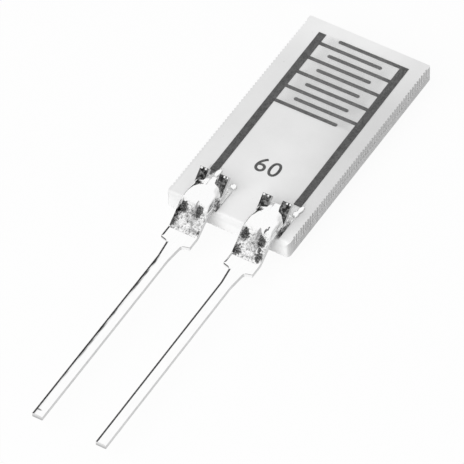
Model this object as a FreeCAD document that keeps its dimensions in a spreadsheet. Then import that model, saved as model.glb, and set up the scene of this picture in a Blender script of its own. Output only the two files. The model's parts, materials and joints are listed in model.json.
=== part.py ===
# Resistive humidity element on a ceramic chip: a printed pair of interdigitated combs under a
# moisture sensitive film, with two stamped three-prong terminals clipped over the lead edge of
# the chip and soldered to its pads.
#
# Frame: millimetres, +Z up, the chip lies flat with its printed face up. The origin is midway
# between the two leads, on the line where their shoulders seat, in the middle of the strip's
# thickness. +Y runs from the shoulders to the far end of the chip, and the leads point to -Y.
import FreeCAD, Part
import math
import os
import Sketcher

doc = FreeCAD.newDocument("humidity_element")

# Driving dimensions: millimetres, and degrees for the angles and the skew
SIZES = {
    # terminals, stamped from plated strip and bent
    "lead_pitch": 2.54,
    "strip_thickness": 0.20,
    "lead_length": 9.17,
    "lead_width": 0.40,
    "lead_root_width": 0.56,
    "lead_taper_end": 0.85,
    "shoulder_width": 1.16,
    "shoulder_slope": 0.08,
    "shoulder_depth": 0.50,
    "root_fillet": 0.15,
    "roll_width": 0.08,
    "roll_depth": 0.03,
    "prong_width": 0.35,
    "centre_prong_width": 0.38,
    "slot_root": 0.06,
    "joggle_angle": 34.0,
    "flare_angle": 41.0,
    "bend_radius": 0.20,
    "knee_length": 0.45,
    "flare_length": 0.71,
    "centre_flare_length": 0.45,
    # ceramic chip, snapped from a scribed plate
    "ceramic_width": 5.00,
    "ceramic_length": 10.00,
    "ceramic_thickness": 0.70,
    "ceramic_drop": 0.03,
    "ceramic_standoff": 1.63,
    "ceramic_shift": -0.10,
    "ceramic_skew": 0.45,
    "edge_round": 0.18,
    "underside_round": 0.06,
    "corner_radius": 0.20,
    "snapped_corner_radius": 0.06,
    "scribe_pitch": 0.16,
    "scribe_radius": 0.07,
    "scribe_miss": 0.025,
    "scribe_depth": 0.40,
    # printed layers
    "print_thickness": 0.02,
    "bar_width": 0.30,
    "bar_spacing": 3.41,
    "bar_lap": 0.20,
    "finger_pitch": 0.40,
    "finger_width": 0.14,
    "finger_pairs": 5,
    "finger_overlap": 2.00,
    "comb_margin": 0.635,
    "pad_width": 1.32,
    "pad_length": 1.44,
    "pad_inset": 0.06,
    "neck_width": 0.42,
    "neck_length": 0.44,
    "film_thickness": 0.04,
    "film_margin": 0.12,
    # solder
    "solder_gap": 0.04,
    "solder_side": 0.05,
    "solder_crown": 0.30,
    "solder_skin": 0.03,
}
SIDES = {"left": -1, "right": 1}

sheet = doc.addObject("Spreadsheet::Sheet", "Sizes")
for row, (alias, number) in enumerate(SIZES.items(), start=1):
    sheet.set(f"A{row}", alias)
    sheet.set(f"B{row}", str(number))
    sheet.setAlias(f"B{row}", alias)
doc.recompute()


class Dim:
    """A size with the formula that the document keeps and the number that it gives now."""

    def __init__(self, text, number):
        self.text = text
        self.number = number

    @staticmethod
    def of(value):
        return value if isinstance(value, Dim) else Dim(str(value), value)

    def __add__(self, other):
        other = Dim.of(other)
        return Dim(f"({self.text} + {other.text})", self.number + other.number)

    def __sub__(self, other):
        other = Dim.of(other)
        return Dim(f"({self.text} - {other.text})", self.number - other.number)

    def __mul__(self, other):
        other = Dim.of(other)
        return Dim(f"({self.text} * {other.text})", self.number * other.number)

    def __truediv__(self, other):
        other = Dim.of(other)
        return Dim(f"({self.text} / {other.text})", self.number / other.number)

    def __neg__(self):
        return Dim(f"(-1 * {self.text})", -self.number)

    __radd__ = __add__
    __rmul__ = __mul__


def trig(name, angle):
    """Sine, cosine or tangent of an angle in degrees."""
    return Dim(f"{name}({angle.text})", getattr(math, name)(math.radians(angle.number)))


def named(alias):
    return Dim(f"Sizes.{alias}", SIZES[alias])


# Heights, from the middle of the strip, which lies a little above the middle of the ceramic
strip = named("strip_thickness")
half_ceramic = named("ceramic_thickness") / 2
face = half_ceramic - named("ceramic_drop")
underside = half_ceramic + named("ceramic_drop")
pad_top = face + named("print_thickness")
prong_height = pad_top + named("solder_gap") + strip / 2
prong_top = prong_height + strip / 2
centre_prong_height = underside + strip / 2

# Places along +Y
lead_edge = named("ceramic_standoff")
far_edge = lead_edge + named("ceramic_length")
joggle_start = named("shoulder_depth")
knee = lead_edge + named("knee_length")
prong_tip = knee + named("flare_length")
centre_prong_tip = knee + named("centre_flare_length")
pad_start = lead_edge + named("pad_inset")
pad_end = pad_start + named("pad_length")
neck_end = pad_end + named("neck_length")
first_finger = far_edge - named("comb_margin")
comb_top = first_finger + named("finger_width") / 2

# The joggle's length along +Y: two bends and the slope between them
bend = named("bend_radius")
joggle_rise = prong_height - 2 * bend + 2 * bend * trig("cos", named("joggle_angle"))
joggle_run = joggle_rise / trig("tan", named("joggle_angle")) + 2 * bend * trig(
    "sin", named("joggle_angle")
)
joggle_end = joggle_start + joggle_run


def new_body(name):
    body = doc.addObject("PartDesign::Body", name)
    body.Label = name
    return body


def new_sketch(body, name, plane, offset=None, flipped=False):
    """An empty sketch on one of the body's own planes, lifted off it by offset."""
    origin_plane = next(f for f in body.Origin.OriginFeatures if f.Role == plane)
    sketch = body.newObject("Sketcher::SketchObject", name)
    sketch.AttachmentSupport = [(origin_plane, "")]
    sketch.MapMode = "FlatFace"
    if flipped:
        turn = FreeCAD.Rotation(FreeCAD.Vector(1, 0, 0), 180)
        sketch.AttachmentOffset = FreeCAD.Placement(FreeCAD.Vector(), turn)
    if offset is not None:
        sketch.setExpression("AttachmentOffset.Base.z", offset.text)
    return sketch


def bind(sketch, kind, *where, to):
    """One dimension of the sketch, tied to a formula."""
    index = sketch.addConstraint(Sketcher.Constraint(kind, *where, to.number))
    sketch.setExpression(f"Constraints[{index}]", to.text)


def pin_point(sketch, curve, point, x, y):
    """Dimension a point from the sketch's origin: 0 puts it on the axis."""
    for kind, axis, value in (("DistanceX", -2, x), ("DistanceY", -1, y)):
        if isinstance(value, Dim):
            bind(sketch, kind, -1, 1, curve, point, to=value)
        else:
            sketch.addConstraint(Sketcher.Constraint("PointOnObject", curve, point, axis))


def number(value):
    return value.number if isinstance(value, Dim) else value


def polygon(body, name, plane, corners, offset=None):
    """A closed outline of straight edges through dimensioned corners."""
    sketch = new_sketch(body, name, plane, offset)
    spots = [FreeCAD.Vector(number(x), number(y), 0) for x, y in corners]
    for start, end in zip(spots, spots[1:] + spots[:1]):
        sketch.addGeometry(Part.LineSegment(start, end), False)
    for i, (x, y) in enumerate(corners):
        previous = (i - 1) % len(corners)
        sketch.addConstraint(Sketcher.Constraint("Coincident", previous, 2, i, 1))
        pin_point(sketch, i, 1, x, y)
    return sketch


def rectangle(body, name, plane, x0, x1, y0, y1, offset=None):
    return polygon(body, name, plane, [(x0, y0), (x1, y0), (x1, y1), (x0, y1)], offset)


def pad(body, name, sketch, length, symmetric=False):
    feature = body.newObject("PartDesign::Pad", name)
    feature.Profile = (sketch, [""])
    feature.setExpression("Length", length.text)
    feature.SideType = "Symmetric" if symmetric else "One side"
    return feature


def cut_through(body, name, sketch):
    """A pocket through everything, both ways from its sketch."""
    feature = body.newObject("PartDesign::Pocket", name)
    feature.Profile = (sketch, [""])
    feature.Type = "ThroughAll"
    feature.SideType = "Symmetric"
    return feature


def edges_where(shape, test):
    return [f"Edge{i}" for i, edge in enumerate(shape.Edges, start=1) if test(edge)]


def dress(body, kind, name, size_name, radius, test):
    """A fillet or chamfer on the edges of the body's last feature that pass a test."""
    doc.recompute()
    base = body.Tip
    chosen = edges_where(base.Shape, test)
    if not chosen:
        raise RuntimeError(f"{body.Label}: no edge found for {name}")
    feature = body.newObject(kind, name)
    feature.Base = (base, chosen)
    feature.setExpression(size_name, radius.text)
    return feature


def span(edge, axis):
    box = edge.BoundBox
    return {"x": box.XLength, "y": box.YLength, "z": box.ZLength}[axis]


def near(a, b, tolerance=1e-4):
    return abs(a - b) < tolerance


def round_waste(sketch, front, side):
    """What tumbling takes off one long corner of the lead edge: side 1 is the printed face."""
    radius = named("edge_round") if side > 0 else named("underside_round")
    outside = radius / 2
    top = side * half_ceramic
    low = side * (half_ceramic - radius)
    centre = (front + radius, low)
    corners = [
        (front + radius, top),
        (front + radius, side * (half_ceramic + outside)),
        (front - outside, side * (half_ceramic + outside)),
        (front - outside, low),
        (front, low),
    ]
    first = sketch.GeometryCount
    spots = [FreeCAD.Vector(y.number, z.number, 0) for y, z in corners]
    for start, end in zip(spots, spots[1:]):
        sketch.addGeometry(Part.LineSegment(start, end), False)
    circle = Part.Circle(
        FreeCAD.Vector(centre[0].number, centre[1].number, 0),
        FreeCAD.Vector(0, 0, 1),
        radius.number,
    )
    turn = (math.pi / 2, math.pi) if side > 0 else (math.pi, 1.5 * math.pi)
    arc = sketch.addGeometry(Part.ArcOfCircle(circle, *turn), False)
    at_top, at_front = (1, 2) if side > 0 else (2, 1)
    for i in range(3):
        sketch.addConstraint(Sketcher.Constraint("Coincident", first + i, 2, first + i + 1, 1))
    for i, (y, z) in enumerate(corners[:4]):
        pin_point(sketch, first + i, 1, y, z)
    sketch.addConstraint(Sketcher.Constraint("Coincident", first + 3, 2, arc, at_front))
    sketch.addConstraint(Sketcher.Constraint("Coincident", first, 1, arc, at_top))
    pin_point(sketch, arc, 3, *centre)


def chip():
    """The ceramic: fired smooth at the lead edge, snapped along laser scribed lines elsewhere."""
    body = new_body("ceramic_substrate")
    half_width = named("ceramic_width") / 2
    half_length = named("ceramic_length") / 2
    blank = rectangle(
        body, "chip_plan", "XY_Plane", -half_width, half_width, -half_length, half_length
    )
    pad(body, "chip_blank", blank, named("ceramic_thickness"), symmetric=True)
    corner_rounds = (
        ("lead_corners", -half_length.number, named("corner_radius")),
        ("snapped_corners", half_length.number, named("snapped_corner_radius")),
    )
    for name, corner_y, radius in corner_rounds:
        dress(
            body,
            "PartDesign::Fillet",
            name,
            "Radius",
            radius,
            lambda e: near(e.CenterOfMass.y, corner_y) and span(e, "x") < 1e-6,
        )
    doc.recompute()
    rounds = new_sketch(body, "edge_round_profile", "YZ_Plane")
    for side in SIDES.values():
        round_waste(rounds, -half_length, side)
    cut_through(body, "lead_edge_rounds", rounds)
    # A row of blind laser shots runs just outside each snapped edge and notches it from above
    shots = new_sketch(body, "first_shots", "XY_Plane", half_ceramic)
    first_shot = -half_length + named("corner_radius") + 1.5 * named("scribe_pitch")
    scribe_line = half_width + named("scribe_miss")
    for i, x in enumerate((-scribe_line, scribe_line)):
        centre = FreeCAD.Vector(x.number, first_shot.number, 0)
        radius = SIZES["scribe_radius"]
        shots.addGeometry(Part.Circle(centre, FreeCAD.Vector(0, 0, 1), radius), False)
        pin_point(shots, i, 3, x, first_shot)
        bind(shots, "Radius", i, to=named("scribe_radius"))
    bite = body.newObject("PartDesign::Pocket", "scribe_shot")
    bite.Profile = (shots, [""])
    bite.setExpression("Length", named("scribe_depth").text)
    row_of_shots = body.newObject("PartDesign::LinearPattern", "scribe_rows")
    row_of_shots.Originals = [bite]
    row_of_shots.Direction = (shots, ["V_Axis"])
    row_of_shots.Mode = "Spacing"
    row_of_shots.setExpression("Offset", named("scribe_pitch").text)
    row = (half_length - first_shot) / named("scribe_pitch")
    row_of_shots.setExpression("Occurrences", f"floor({row.text})")
    body.Tip = row_of_shots
    body.setExpression("Placement.Base.x", named("ceramic_shift").text)
    body.setExpression("Placement.Base.y", (lead_edge + half_length).text)
    body.setExpression("Placement.Base.z", (-named("ceramic_drop")).text)
    body.setExpression("Placement.Rotation.Angle", (-named("ceramic_skew")).text)
    body.Placement.Rotation = FreeCAD.Rotation(FreeCAD.Vector(0, 0, 1), -SIZES["ceramic_skew"])
    return body


def solder_pad(side, sign):
    """Printed conductor under a terminal, with a neck that the comb's bar laps over."""
    body = new_body(f"solder_pad_{side}")
    centre = sign * named("lead_pitch") / 2
    inner = centre - sign * named("pad_width") / 2
    outer = centre + sign * named("pad_width") / 2
    neck_inner = outer - sign * named("neck_width")
    corners = [
        (inner, pad_start),
        (outer, pad_start),
        (outer, neck_end),
        (neck_inner, neck_end),
        (neck_inner, pad_end),
        (inner, pad_end),
    ]
    plan = polygon(body, "pad_plan", "XY_Plane", corners, face)
    pad(body, "pad_print", plan, named("print_thickness"))
    return body


def finger_outline(body, sign, centre_y):
    """One finger: from the middle of its bar to a round tip on the far side of the comb."""
    half = named("finger_width") / 2
    root = sign * named("bar_spacing") / 2
    tip_centre = -sign * (named("finger_overlap") / 2 - half)
    sketch = new_sketch(body, "finger_plan", "XY_Plane", face)
    low, high = centre_y - half, centre_y + half
    spots = [(root, low), (tip_centre, low), (tip_centre, high), (root, high)]
    points = [FreeCAD.Vector(x.number, y.number, 0) for x, y in spots]
    for start, end in ((0, 1), (2, 3), (3, 0)):
        sketch.addGeometry(Part.LineSegment(points[start], points[end]), False)
    round_tip = Part.Circle(
        FreeCAD.Vector(tip_centre.number, centre_y.number, 0),
        FreeCAD.Vector(0, 0, 1),
        half.number,
    )
    quarter = math.pi / 2
    turn = (quarter, 3 * quarter) if sign > 0 else (-quarter, quarter)
    sketch.addGeometry(Part.ArcOfCircle(round_tip, *turn), False)
    low_end, high_end = (2, 1) if sign > 0 else (1, 2)
    sketch.addConstraint(Sketcher.Constraint("Coincident", 0, 2, 3, low_end))
    sketch.addConstraint(Sketcher.Constraint("Coincident", 1, 1, 3, high_end))
    sketch.addConstraint(Sketcher.Constraint("Coincident", 1, 2, 2, 1))
    sketch.addConstraint(Sketcher.Constraint("Coincident", 2, 2, 0, 1))
    for curve, (x, y) in zip((0, 1, 2), (spots[0], spots[2], spots[3])):
        pin_point(sketch, curve, 1, x, y)
    pin_point(sketch, 3, 3, tip_centre, centre_y)
    return sketch


def electrode(side, sign):
    """A comb: its bar runs from the pad's neck to the far end, with a row of fingers."""
    body = new_body(f"electrode_{side}")
    thick = named("print_thickness")
    inner = sign * (named("bar_spacing") / 2 - named("bar_width") / 2)
    outer = sign * (named("bar_spacing") / 2 + named("bar_width") / 2)
    bar = rectangle(body, "bar_plan", "XY_Plane", inner, outer, neck_end, comb_top, face)
    pad(body, "bar_print", bar, thick)
    # The first finger of the right comb is the top one, and the combs alternate from there
    centre_y = first_finger if sign > 0 else first_finger - named("finger_pitch")
    finger = finger_outline(body, sign, centre_y)
    finger_print = pad(body, "finger_print", finger, thick)
    fingers = body.newObject("PartDesign::LinearPattern", "finger_row")
    fingers.Originals = [finger_print]
    fingers.Direction = (finger, ["V_Axis"])
    fingers.Reversed = True
    fingers.Mode = "Spacing"
    fingers.setExpression("Offset", (2 * named("finger_pitch")).text)
    fingers.setExpression("Occurrences", named("finger_pairs").text)
    body.Tip = fingers
    # The foot steps up over the printed neck and lies on top of it
    foot_end = neck_end + named("bar_width") / 4
    foot = rectangle(
        body, "foot_plan", "XY_Plane", inner, outer, neck_end - named("bar_lap"), foot_end, pad_top
    )
    pad(body, "foot_print", foot, thick)
    return body


def strip_path(body, name, height, tip, flipped):
    """The middle line of a prong: up the joggle, flat on the chip, then flared at the tip."""
    sketch = new_sketch(body, name, "YZ_Plane", flipped=flipped)
    radius = bend.number
    lean, flare = (math.radians(SIZES[a]) for a in ("joggle_angle", "flare_angle"))
    up = FreeCAD.Vector(0, 0, 1)

    def arc(centre, start, end):
        circle = Part.Circle(centre, up, radius)
        return sketch.addGeometry(Part.ArcOfCircle(circle, start, end), False)

    def line(start, end):
        return sketch.addGeometry(Part.LineSegment(start, end), False)

    down = -math.pi / 2
    rise = height.number - 2 * radius * (1 - math.cos(lean))
    first = FreeCAD.Vector(joggle_start.number, 0, 0)
    slope_low = first + FreeCAD.Vector(radius * math.sin(lean), radius * (1 - math.cos(lean)), 0)
    slope_high = slope_low + FreeCAD.Vector(rise / math.tan(lean), rise, 0)
    flat_start = slope_high + FreeCAD.Vector(
        radius * math.sin(lean), radius * (1 - math.cos(lean)), 0
    )
    flat_end = FreeCAD.Vector(knee.number, height.number, 0)
    flare_start = flat_end + FreeCAD.Vector(
        radius * math.sin(flare), radius * (1 - math.cos(flare)), 0
    )
    reach = tip.number - flare_start.x
    flare_tip = flare_start + FreeCAD.Vector(reach, reach * math.tan(flare), 0)
    lower_bend = arc(first + FreeCAD.Vector(0, radius, 0), down, down + lean)
    slope = line(slope_low, slope_high)
    upper_bend = arc(flat_start - FreeCAD.Vector(0, radius, 0), -down, -down + lean)
    flat = line(flat_start, flat_end)
    flare_bend = arc(flat_end + FreeCAD.Vector(0, radius, 0), down, down + flare)
    flare_line = line(flare_start, flare_tip)

    pin_point(sketch, lower_bend, 1, joggle_start, 0)
    sketch.addConstraint(Sketcher.Constraint("Vertical", lower_bend, 3, lower_bend, 1))
    bind(sketch, "Radius", lower_bend, to=bend)
    for other in (upper_bend, flare_bend):
        sketch.addConstraint(Sketcher.Constraint("Equal", lower_bend, other))
    joints = (
        (lower_bend, 2, slope, 1),
        (slope, 2, upper_bend, 2),
        (upper_bend, 1, flat, 1),
        (flat, 2, flare_bend, 1),
        (flare_bend, 2, flare_line, 1),
    )
    for joint in joints:
        sketch.addConstraint(Sketcher.Constraint("Tangent", *joint))
    sketch.addConstraint(Sketcher.Constraint("Horizontal", flat))
    bind(sketch, "DistanceY", -1, 1, flat, 1, to=height)
    bind(sketch, "DistanceX", -1, 1, flat, 2, to=knee)
    bind(sketch, "DistanceX", -1, 1, flare_line, 2, to=tip)
    for curve, alias in ((slope, "joggle_angle"), (flare_line, "flare_angle")):
        index = sketch.addConstraint(
            Sketcher.Constraint("Angle", curve, math.radians(SIZES[alias]))
        )
        sketch.setExpression(f"Constraints[{index}]", f"{named(alias).text} * 1 deg")
    return sketch


def sweep(body, name, profile, path):
    feature = body.newObject("PartDesign::AdditivePipe", name)
    feature.Profile = profile
    edges = [f"Edge{i + 1}" for i in range(len(path.Geometry))]
    feature.Spine = (path, edges)
    return feature


def die_roll(body, name, test):
    """The slope that a stamping die leaves on upper edges: wide on top, shallow at the side."""
    feature = dress(body, "PartDesign::Chamfer", name, "Size", named("roll_width"), test)
    feature.ChamferType = "Two distances"
    feature.setExpression("Size2", named("roll_depth").text)


def terminal(side, sign):
    """A stamped clip: two outer prongs over the chip, the centre one under it, and a lead."""
    body = new_body(f"terminal_{side}")
    half = {
        "shoulder": named("shoulder_width") / 2,
        "root": named("lead_root_width") / 2,
        "lead": named("lead_width") / 2,
    }
    right_side = [
        (half["lead"], -named("lead_length")),
        (half["lead"], -named("lead_taper_end")),
        (half["root"], -named("shoulder_slope")),
    ]
    shoulder = [(half["shoulder"], 0), (half["shoulder"], joggle_start)]
    right = right_side + shoulder
    left = [(-x, y) for x, y in reversed(right)]
    plan = polygon(body, "blade_plan", "XY_Plane", right + left)
    pad(body, "blade", plan, strip, symmetric=True)
    root_y = -SIZES["shoulder_slope"]
    root_x = half["root"].number
    dress(
        body,
        "PartDesign::Fillet",
        "root_fillets",
        "Radius",
        named("root_fillet"),
        lambda e: near(e.CenterOfMass.y, root_y) and near(abs(e.CenterOfMass.x), root_x),
    )
    tip_y = -SIZES["lead_length"]
    top_z = SIZES["strip_thickness"] / 2

    def rolled(edge, side):
        middle = edge.CenterOfMass
        along = tip_y + 1e-3 < middle.y < SIZES["shoulder_depth"] - 1e-3
        return along and near(middle.z, top_z) and side * middle.x > 0

    die_roll(body, "left_roll", lambda e: rolled(e, -1))
    die_roll(body, "right_roll", lambda e: rolled(e, 1))
    doc.recompute()
    flat_half = half["shoulder"] - named("roll_width")
    wall_top = strip / 2 - named("roll_depth")
    rolled_section = [
        (-half["shoulder"], -strip / 2),
        (half["shoulder"], -strip / 2),
        (half["shoulder"], wall_top),
        (flat_half, strip / 2),
        (-flat_half, strip / 2),
        (-half["shoulder"], wall_top),
    ]
    outer_width = polygon(body, "outer_section", "XZ_Plane", rolled_section, -joggle_start)
    outer_path = strip_path(body, "outer_path", prong_height, prong_tip, flipped=False)
    sweep(body, "outer_prongs", outer_width, outer_path)
    gap = half["shoulder"] - named("prong_width")
    slot = rectangle(
        body,
        "slot_plan",
        "XY_Plane",
        -gap,
        gap,
        joggle_start + named("slot_root"),
        prong_tip + strip,
    )
    cut_through(body, "slot", slot)
    centre_half = named("centre_prong_width") / 2
    centre_width = rectangle(
        body,
        "centre_section",
        "XZ_Plane",
        -centre_half,
        centre_half,
        -strip / 2,
        strip / 2,
        -joggle_start,
    )
    centre_path = strip_path(body, "centre_path", centre_prong_height, centre_prong_tip, flipped=True)
    sweep(body, "centre_prong", centre_width, centre_path)
    body.setExpression("Placement.Base.x", (sign * named("lead_pitch") / 2).text)
    return body


def solder_section(body, name, y, half_width, base, edge_top, crown):
    """An arch across the prongs: flat base, short upright sides and one arc over the top."""
    sketch = new_sketch(body, name, "XZ_Plane", -y)
    sag = (crown - edge_top).number
    radius = (half_width.number**2 + sag**2) / (2 * sag)
    centre = FreeCAD.Vector(0, crown.number - radius, 0)
    reach = math.atan2(edge_top.number - centre.y, half_width.number)
    corners = [(half_width, edge_top), (-half_width, edge_top), (-half_width, base), (half_width, base)]
    spots = [FreeCAD.Vector(x.number, z.number, 0) for x, z in corners]
    arc = Part.Circle(centre, FreeCAD.Vector(0, 0, 1), radius)
    sketch.addGeometry(Part.ArcOfCircle(arc, reach, math.pi - reach), False)
    for i in (1, 2, 3):
        sketch.addGeometry(Part.LineSegment(spots[i], spots[(i + 1) % 4]), False)
    for i in range(4):
        sketch.addConstraint(Sketcher.Constraint("Coincident", i, 2, (i + 1) % 4, 1))
        pin_point(sketch, i, 1, *corners[i])
    arch_radius = (half_width * half_width + (crown - edge_top) * (crown - edge_top)) / (
        2 * (crown - edge_top)
    )
    bind(sketch, "Radius", 0, to=arch_radius)
    return sketch


def solder_joint(side, sign, neighbours):
    """Solder over and between the outer prongs, down to the pad, cut to what it wets."""
    name = f"solder_joint_{side}"
    body = new_body(f"solder_blank_{side}")
    skin = named("solder_skin")
    over_prongs = prong_top + skin
    wide = named("shoulder_width") / 2 + named("solder_side")
    narrow = named("shoulder_width") / 2 - skin
    crown = prong_top + named("solder_crown")
    joggle_middle = joggle_start + joggle_run / 2
    joggle_top = prong_height / 2 + strip / (2 * trig("cos", named("joggle_angle")))
    fade = pad_end - skin
    stations = [
        (joggle_start, narrow, 0.1 * strip, strip / 2 + 0.5 * skin, strip / 2 + skin),
        (joggle_middle, narrow, joggle_top - strip, joggle_top + 0.5 * skin, joggle_top + 2 * skin),
        (joggle_end, narrow, pad_top + skin, over_prongs, over_prongs + 2 * skin),
        ((joggle_end + knee) / 2, wide, pad_top, over_prongs - skin, crown),
        (knee, wide, pad_top, prong_top - strip / 2, crown - skin),
        ((knee + fade) / 2, wide, pad_top, pad_top + 2 * skin, over_prongs),
        (fade, wide, pad_top, pad_top + 0.5 * skin, pad_top + 1.5 * skin),
    ]
    sections = [
        solder_section(body, f"arch_{i}", *station) for i, station in enumerate(stations)
    ]
    loft = body.newObject("PartDesign::AdditiveLoft", "mound")
    loft.Profile = sections[0]
    loft.Sections = sections[1:]
    body.setExpression("Placement.Base.x", (sign * named("lead_pitch") / 2).text)
    keep_out = doc.addObject("Part::Compound", f"wetted_by_{side}")
    keep_out.Links = neighbours
    joint = doc.addObject("Part::Cut", name)
    joint.Label = name
    joint.Base = body
    joint.Tool = keep_out
    return joint


def humidity_film(combs):
    """The moisture sensitive coat: it covers both combs and fills the gaps between them."""
    half_width = named("bar_spacing") / 2 + named("bar_width") / 2 + named("film_margin")
    comb_height = named("finger_pitch") * (2 * named("finger_pairs") - 1)
    low = first_finger - comb_height - named("finger_width") / 2 - named("film_margin")
    high = comb_top + named("film_margin")
    blank = doc.addObject("Part::Box", "film_blank")
    blank.setExpression("Length", (2 * half_width).text)
    blank.setExpression("Width", (high - low).text)
    blank.setExpression("Height", named("film_thickness").text)
    blank.setExpression("Placement.Base.x", (-half_width).text)
    blank.setExpression("Placement.Base.y", low.text)
    blank.setExpression("Placement.Base.z", face.text)
    print_under_it = doc.addObject("Part::Compound", "combs")
    print_under_it.Links = combs
    film = doc.addObject("Part::Cut", "humidity_film")
    film.Label = "humidity_film"
    film.Base = blank
    film.Tool = print_under_it
    return film


substrate = chip()
pads = {side: solder_pad(side, sign) for side, sign in SIDES.items()}
combs = {side: electrode(side, sign) for side, sign in SIDES.items()}
terminals = {side: terminal(side, sign) for side, sign in SIDES.items()}
film = humidity_film(list(combs.values()))
joints = {
    side: solder_joint(side, sign, [substrate, pads[side], combs[side], terminals[side]])
    for side, sign in SIDES.items()
}
doc.recompute()

pieces = [substrate, film, *pads.values(), *combs.values(), *terminals.values(), *joints.values()]
for item in doc.Objects:
    if "Invalid" in item.State or "Error" in item.State:
        raise RuntimeError(f"{item.Label} did not compute: {item.State}")
for piece in pieces:
    if piece.Shape.isNull() or not piece.Shape.isValid():
        raise RuntimeError(f"{piece.Label} has no valid shape")

os.makedirs("parts", exist_ok=True)
for piece in pieces:
    piece.Shape.exportStep(f"parts/{piece.Label}.step")
    box = piece.Shape.BoundBox
    print(
        f"{piece.Label}: {len(piece.Shape.Solids)} solid, {piece.Shape.Volume:.4f} mm3, "
        f"x {box.XMin:.3f} to {box.XMax:.3f}, y {box.YMin:.3f} to {box.YMax:.3f}, "
        f"z {box.ZMin:.3f} to {box.ZMax:.3f}"
    )
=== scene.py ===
import json
import math

import bpy
from mathutils import Matrix, Vector, noise


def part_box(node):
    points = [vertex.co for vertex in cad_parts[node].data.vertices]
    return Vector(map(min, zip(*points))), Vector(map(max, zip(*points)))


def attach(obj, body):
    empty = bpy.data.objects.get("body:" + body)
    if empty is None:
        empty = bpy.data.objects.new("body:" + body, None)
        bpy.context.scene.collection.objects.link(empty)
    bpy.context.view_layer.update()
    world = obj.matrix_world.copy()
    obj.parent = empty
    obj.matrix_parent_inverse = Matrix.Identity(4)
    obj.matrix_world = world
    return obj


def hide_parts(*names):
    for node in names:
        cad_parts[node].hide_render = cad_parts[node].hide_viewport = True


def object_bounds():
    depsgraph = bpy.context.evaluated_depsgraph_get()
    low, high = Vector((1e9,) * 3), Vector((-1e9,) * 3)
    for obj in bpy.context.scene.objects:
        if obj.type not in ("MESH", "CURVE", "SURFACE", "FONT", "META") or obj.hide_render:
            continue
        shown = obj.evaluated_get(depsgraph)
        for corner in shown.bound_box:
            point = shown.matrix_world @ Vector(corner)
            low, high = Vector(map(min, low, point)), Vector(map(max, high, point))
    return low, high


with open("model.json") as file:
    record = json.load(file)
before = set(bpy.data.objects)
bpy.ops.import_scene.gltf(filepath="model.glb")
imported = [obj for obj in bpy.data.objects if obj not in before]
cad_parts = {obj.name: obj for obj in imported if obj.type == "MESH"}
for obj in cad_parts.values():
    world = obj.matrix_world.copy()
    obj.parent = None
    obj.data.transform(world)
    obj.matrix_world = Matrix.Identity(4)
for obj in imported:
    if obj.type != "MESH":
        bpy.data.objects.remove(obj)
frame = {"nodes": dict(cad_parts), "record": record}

CAD_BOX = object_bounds()
MIDDLE = (CAD_BOX[0] + CAD_BOX[1]) / 2
MM = 0.001
SIDES = {"left": -1, "right": 1}

# Heights and places of the chip, the pads and the clips, from the boxes of the frame's nodes
FACE_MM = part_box("ceramic_substrate")[1].z / MM
PAD_TOP_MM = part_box("solder_pad_left")[1].z / MM
CLIP_LOW, CLIP_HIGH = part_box("terminal_right")
PITCH_MM = (CLIP_HIGH.x + CLIP_LOW.x) / MM
CLIP_HALF_MM = (CLIP_HIGH.x - CLIP_LOW.x) / 2 / MM
TIP_END_MM = CLIP_HIGH.y / MM
TIP_TOP_MM = CLIP_HIGH.z / MM

# The clip's bent path, which the solder follows
STRIP_MM = 0.20
BEND_MM = 0.20
JOGGLE_START_MM = 0.50
JOGGLE_END_MM = 1.334
JOGGLE_ANGLE = math.radians(34)
SOLDER_GAP_MM = 0.04
PRONG_TOP_MM = PAD_TOP_MM + SOLDER_GAP_MM + STRIP_MM
SLOT_HALF_MM = 0.23

# In the groups on solder, a pair gives where a change is still nothing and where it is full.
# It goes by y along the chip, by the distance from the clip's middle where its name says across,
# and by u where its name says left to right.
# The thin solder on the joggle: its slanting and wavy edge, its thickness, lumps and sags
WICK_START_MM = JOGGLE_START_MM + 0.02
WICK_SLANT = 0.06
WICK_WAVE_MM = 0.04
WICK_FADE_MM = 0.20
COAT_MM = 0.004
WICK_MM = 0.022
LUMP_MM = 0.012
LUMPS_ALONG_MM = (1.20, 0.95)
SAG_MM = 0.05
SAG_ALONG_MM = (0.60, 0.80)
SAG_ACROSS_MM = (SLOT_HALF_MM + 0.02, SLOT_HALF_MM - 0.10)
ROLL_MM = 0.045
ROLL_ACROSS_MM = (CLIP_HALF_MM - 0.09, CLIP_HALF_MM)

# The pool: its crown over the prongs, its edges, and its rise between the flares
CROWN_MM = 0.27
CROWN_FRONT_SHARE = 0.72
CROWN_ALONG_MM = (1.10, 1.70)
POOL_WAVE_MM = 0.012
POOL_LEFT_MM = CLIP_HALF_MM + 0.02
POOL_RIGHT_MM = CLIP_HALF_MM - 0.02
LEFT_FULLNESS = 14
RIGHT_FULLNESS = 6
CLIMB_MM = 0.08
CLIMB_HALF_MM = 0.33
CLIMB_ALONG_MM = (1.75, 2.20)
CLIMB_STEEPNESS_LEFT = 0.28
CLIMB_STEEPNESS_RIGHT = 0.75
LEFT_TO_RIGHT_MM = (-0.10, 0.20)

# The pool's front with its two noses, and where it drops to the pad behind the flares
FRONT_MM = 0.97
FRONT_WAVE_MM = 0.02
FRONT_SLOPE = 0.80
FRONT_BLEND_MM = 0.10
NOSE_SLOPE = 1.20
NOSE_RADIUS_MM = 0.25
WEB_ACROSS_MM = (SLOT_HALF_MM + 0.02, SLOT_HALF_MM - 0.06)
WEB_DROP_MM = (2.62, 3.03)
BESIDE_WEB_DROP_MM = (2.36, 2.75)

# The hollow fillets beside the prongs, and how high the wetted pad lies
WETTED_MM = PAD_TOP_MM + 0.02
FILLET_START_MM = 1.70
FILLET_TOP_MM = 0.47
FILLET_WIDTH_MM = 0.08
FILLET_HOLLOW = 1.6

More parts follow.
